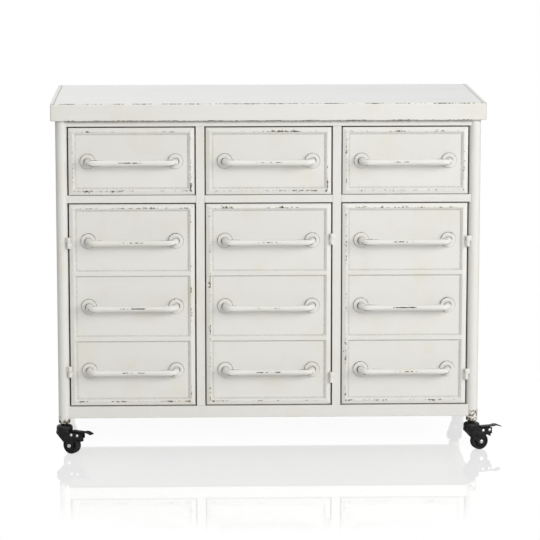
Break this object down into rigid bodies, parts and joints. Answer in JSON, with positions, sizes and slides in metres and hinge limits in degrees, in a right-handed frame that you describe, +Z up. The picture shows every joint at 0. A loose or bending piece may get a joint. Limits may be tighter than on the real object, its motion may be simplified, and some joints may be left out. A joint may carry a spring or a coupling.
{
  "type": "three-door cabinet",
  "caption": "Low painted sheet-steel cabinet on swivel casters, with drawers above doors that are pressed like stacked drawers, and a bow handle on each field.",
  "frame": {"origin": "on the floor, below the middle of the top", "axes": "+X to the viewer's right, +Y to the back, +Z up; the front faces -Y"},
  "size_m": [1.0536, 0.4903, 0.82],
  "materials": {
    "paint": "off-white enamel, rubbed through along the edges",
    "inside_paint": "off-white enamel, little worn",
    "zinc": "dull zinc-plated sheet",
    "magnet": "black magnet in a black case",
    "caster_black": "black lacquer, half gloss",
    "tread": "black, dull",
    "bolt": "bright nickel"
  },
  "bodies": {
    "cabinet": {"top_panel": "paint", "top_edge_strips": "paint", "left_front_post": "paint", "right_front_post": "paint", "left_rear_post": "paint", "right_rear_post": "paint", "front_top_rail": "paint", "front_middle_rail": "paint", "front_bottom_rail": "paint", "front_dividers": "paint", "side_rails": "paint", "rear_rails": "paint", "left_side_panel": "paint", "right_side_panel": "paint", "back_panel": "paint", "bottom_panel": "inside_paint", "drawer_deck": "inside_paint", "partitions": "inside_paint", "shelves": "inside_paint", "shelf_ledges": "inside_paint", "drawer_rails": "zinc", "magnetic_catches": "magnet", "frame_knuckles": "paint", "caster_stems": "zinc"},
    "left_drawer": {"left_drawer_front": "paint", "left_drawer_tray": "inside_paint", "left_drawer_handle": "paint"},
    "middle_drawer": {"middle_drawer_front": "paint", "middle_drawer_tray": "inside_paint", "middle_drawer_handle": "paint"},
    "right_drawer": {"right_drawer_front": "paint", "right_drawer_tray": "inside_paint", "right_drawer_handle": "paint"},
    "left_door": {"left_door_skin": "paint", "left_door_lining": "inside_paint", "left_door_handles": "paint", "left_door_knuckles": "paint"},
    "middle_door": {"middle_door_skin": "paint", "middle_door_lining": "inside_paint", "middle_door_handles": "paint", "middle_door_knuckles": "paint"},
    "right_door": {"right_door_skin": "paint", "right_door_lining": "inside_paint", "right_door_handles": "paint", "right_door_knuckles": "paint"},
    "front_left_swivel": {"front_left_fork": "caster_black", "front_left_pins": "bolt"},
    "front_left_roller": {"front_left_wheel": "tread"},
    "front_left_brake": {"front_left_pedal": "caster_black"},
    "front_right_swivel": {"front_right_fork": "caster_black", "front_right_pins": "bolt"},
    "front_right_roller": {"front_right_wheel": "tread"},
    "front_right_brake": {"front_right_pedal": "caster_black"},
    "rear_left_swivel": {"rear_left_fork": "caster_black", "rear_left_pins": "bolt"},
    "rear_left_roller": {"rear_left_wheel": "tread"},
    "rear_right_swivel": {"rear_right_fork": "caster_black", "rear_right_pins": "bolt"},
    "rear_right_roller": {"rear_right_wheel": "tread"}
  },
  "joints": [
    {"name": "left_drawer_slide", "type": "slide", "parent": "cabinet", "child": "left_drawer", "axis": [0, -1, 0], "range_m": [0, 0.28]},
    {"name": "middle_drawer_slide", "type": "slide", "parent": "cabinet", "child": "middle_drawer", "axis": [0, -1, 0], "range_m": [0, 0.28]},
    {"name": "right_drawer_slide", "type": "slide", "parent": "cabinet", "child": "right_drawer", "axis": [0, -1, 0], "range_m": [0, 0.28]},
    {"name": "left_door_hinge", "type": "hinge", "parent": "cabinet", "child": "left_door", "pos_m": [-0.46155, -0.2162, 0.194], "axis": [0, 0, -1], "range_deg": [0, 110]},
    {"name": "middle_door_hinge", "type": "hinge", "parent": "cabinet", "child": "middle_door", "pos_m": [0.14618, -0.2162, 0.194], "axis": [0, 0, 1], "range_deg": [0, 95]},
    {"name": "right_door_hinge", "type": "hinge", "parent": "cabinet", "child": "right_door", "pos_m": [0.46155, -0.2162, 0.194], "axis": [0, 0, 1], "range_deg": [0, 110]},
    {"name": "front_left_swivel_turn", "type": "hinge", "parent": "cabinet", "child": "front_left_swivel", "pos_m": [-0.4765, -0.2015, 0.058], "axis": [0, 0, 1], "continuous": true},
    {"name": "front_left_wheel_roll", "type": "hinge", "parent": "front_left_swivel", "child": "front_left_roller", "pos_m": [-0.45918, -0.2115, 0.02], "axis": [0.5, 0.866, 0], "continuous": true},
    {"name": "front_left_brake_press", "type": "hinge", "parent": "front_left_swivel", "child": "front_left_brake", "pos_m": [-0.44039, -0.22235, 0.046], "axis": [0.5, 0.866, 0], "range_deg": [0, 24]},
    {"name": "front_right_swivel_turn", "type": "hinge", "parent": "cabinet", "child": "front_right_swivel", "pos_m": [0.4765, -0.2015, 0.058], "axis": [0, 0, 1], "continuous": true},
    {"name": "front_right_wheel_roll", "type": "hinge", "parent": "front_right_swivel", "child": "front_right_roller", "pos_m": [0.49529, -0.19466, 0.02], "axis": [-0.342, 0.9397, 0], "continuous": true},
    {"name": "front_right_brake_press", "type": "hinge", "parent": "front_right_swivel", "child": "front_right_brake", "pos_m": [0.51569, -0.18724, 0.046], "axis": [-0.342, 0.9397, 0], "range_deg": [0, 24]},
    {"name": "rear_left_swivel_turn", "type": "hinge", "parent": "cabinet", "child": "rear_left_swivel", "pos_m": [-0.4765, 0.2015, 0.058], "axis": [0, 0, 1], "continuous": true},
    {"name": "rear_left_wheel_roll", "type": "hinge", "parent": "rear_left_swivel", "child": "rear_left_roller", "pos_m": [-0.4865, 0.21882, 0.02], "axis": [-0.866, -0.5, 0], "continuous": true},
    {"name": "rear_right_swivel_turn", "type": "hinge", "parent": "cabinet", "child": "rear_right_swivel", "pos_m": [0.4765, 0.2015, 0.058], "axis": [0, 0, 1], "continuous": true},
    {"name": "rear_right_wheel_roll", "type": "hinge", "parent": "rear_right_swivel", "child": "rear_right_roller", "pos_m": [0.4865, 0.21882, 0.02], "axis": [-0.866, 0.5, 0], "continuous": true}
  ]
}
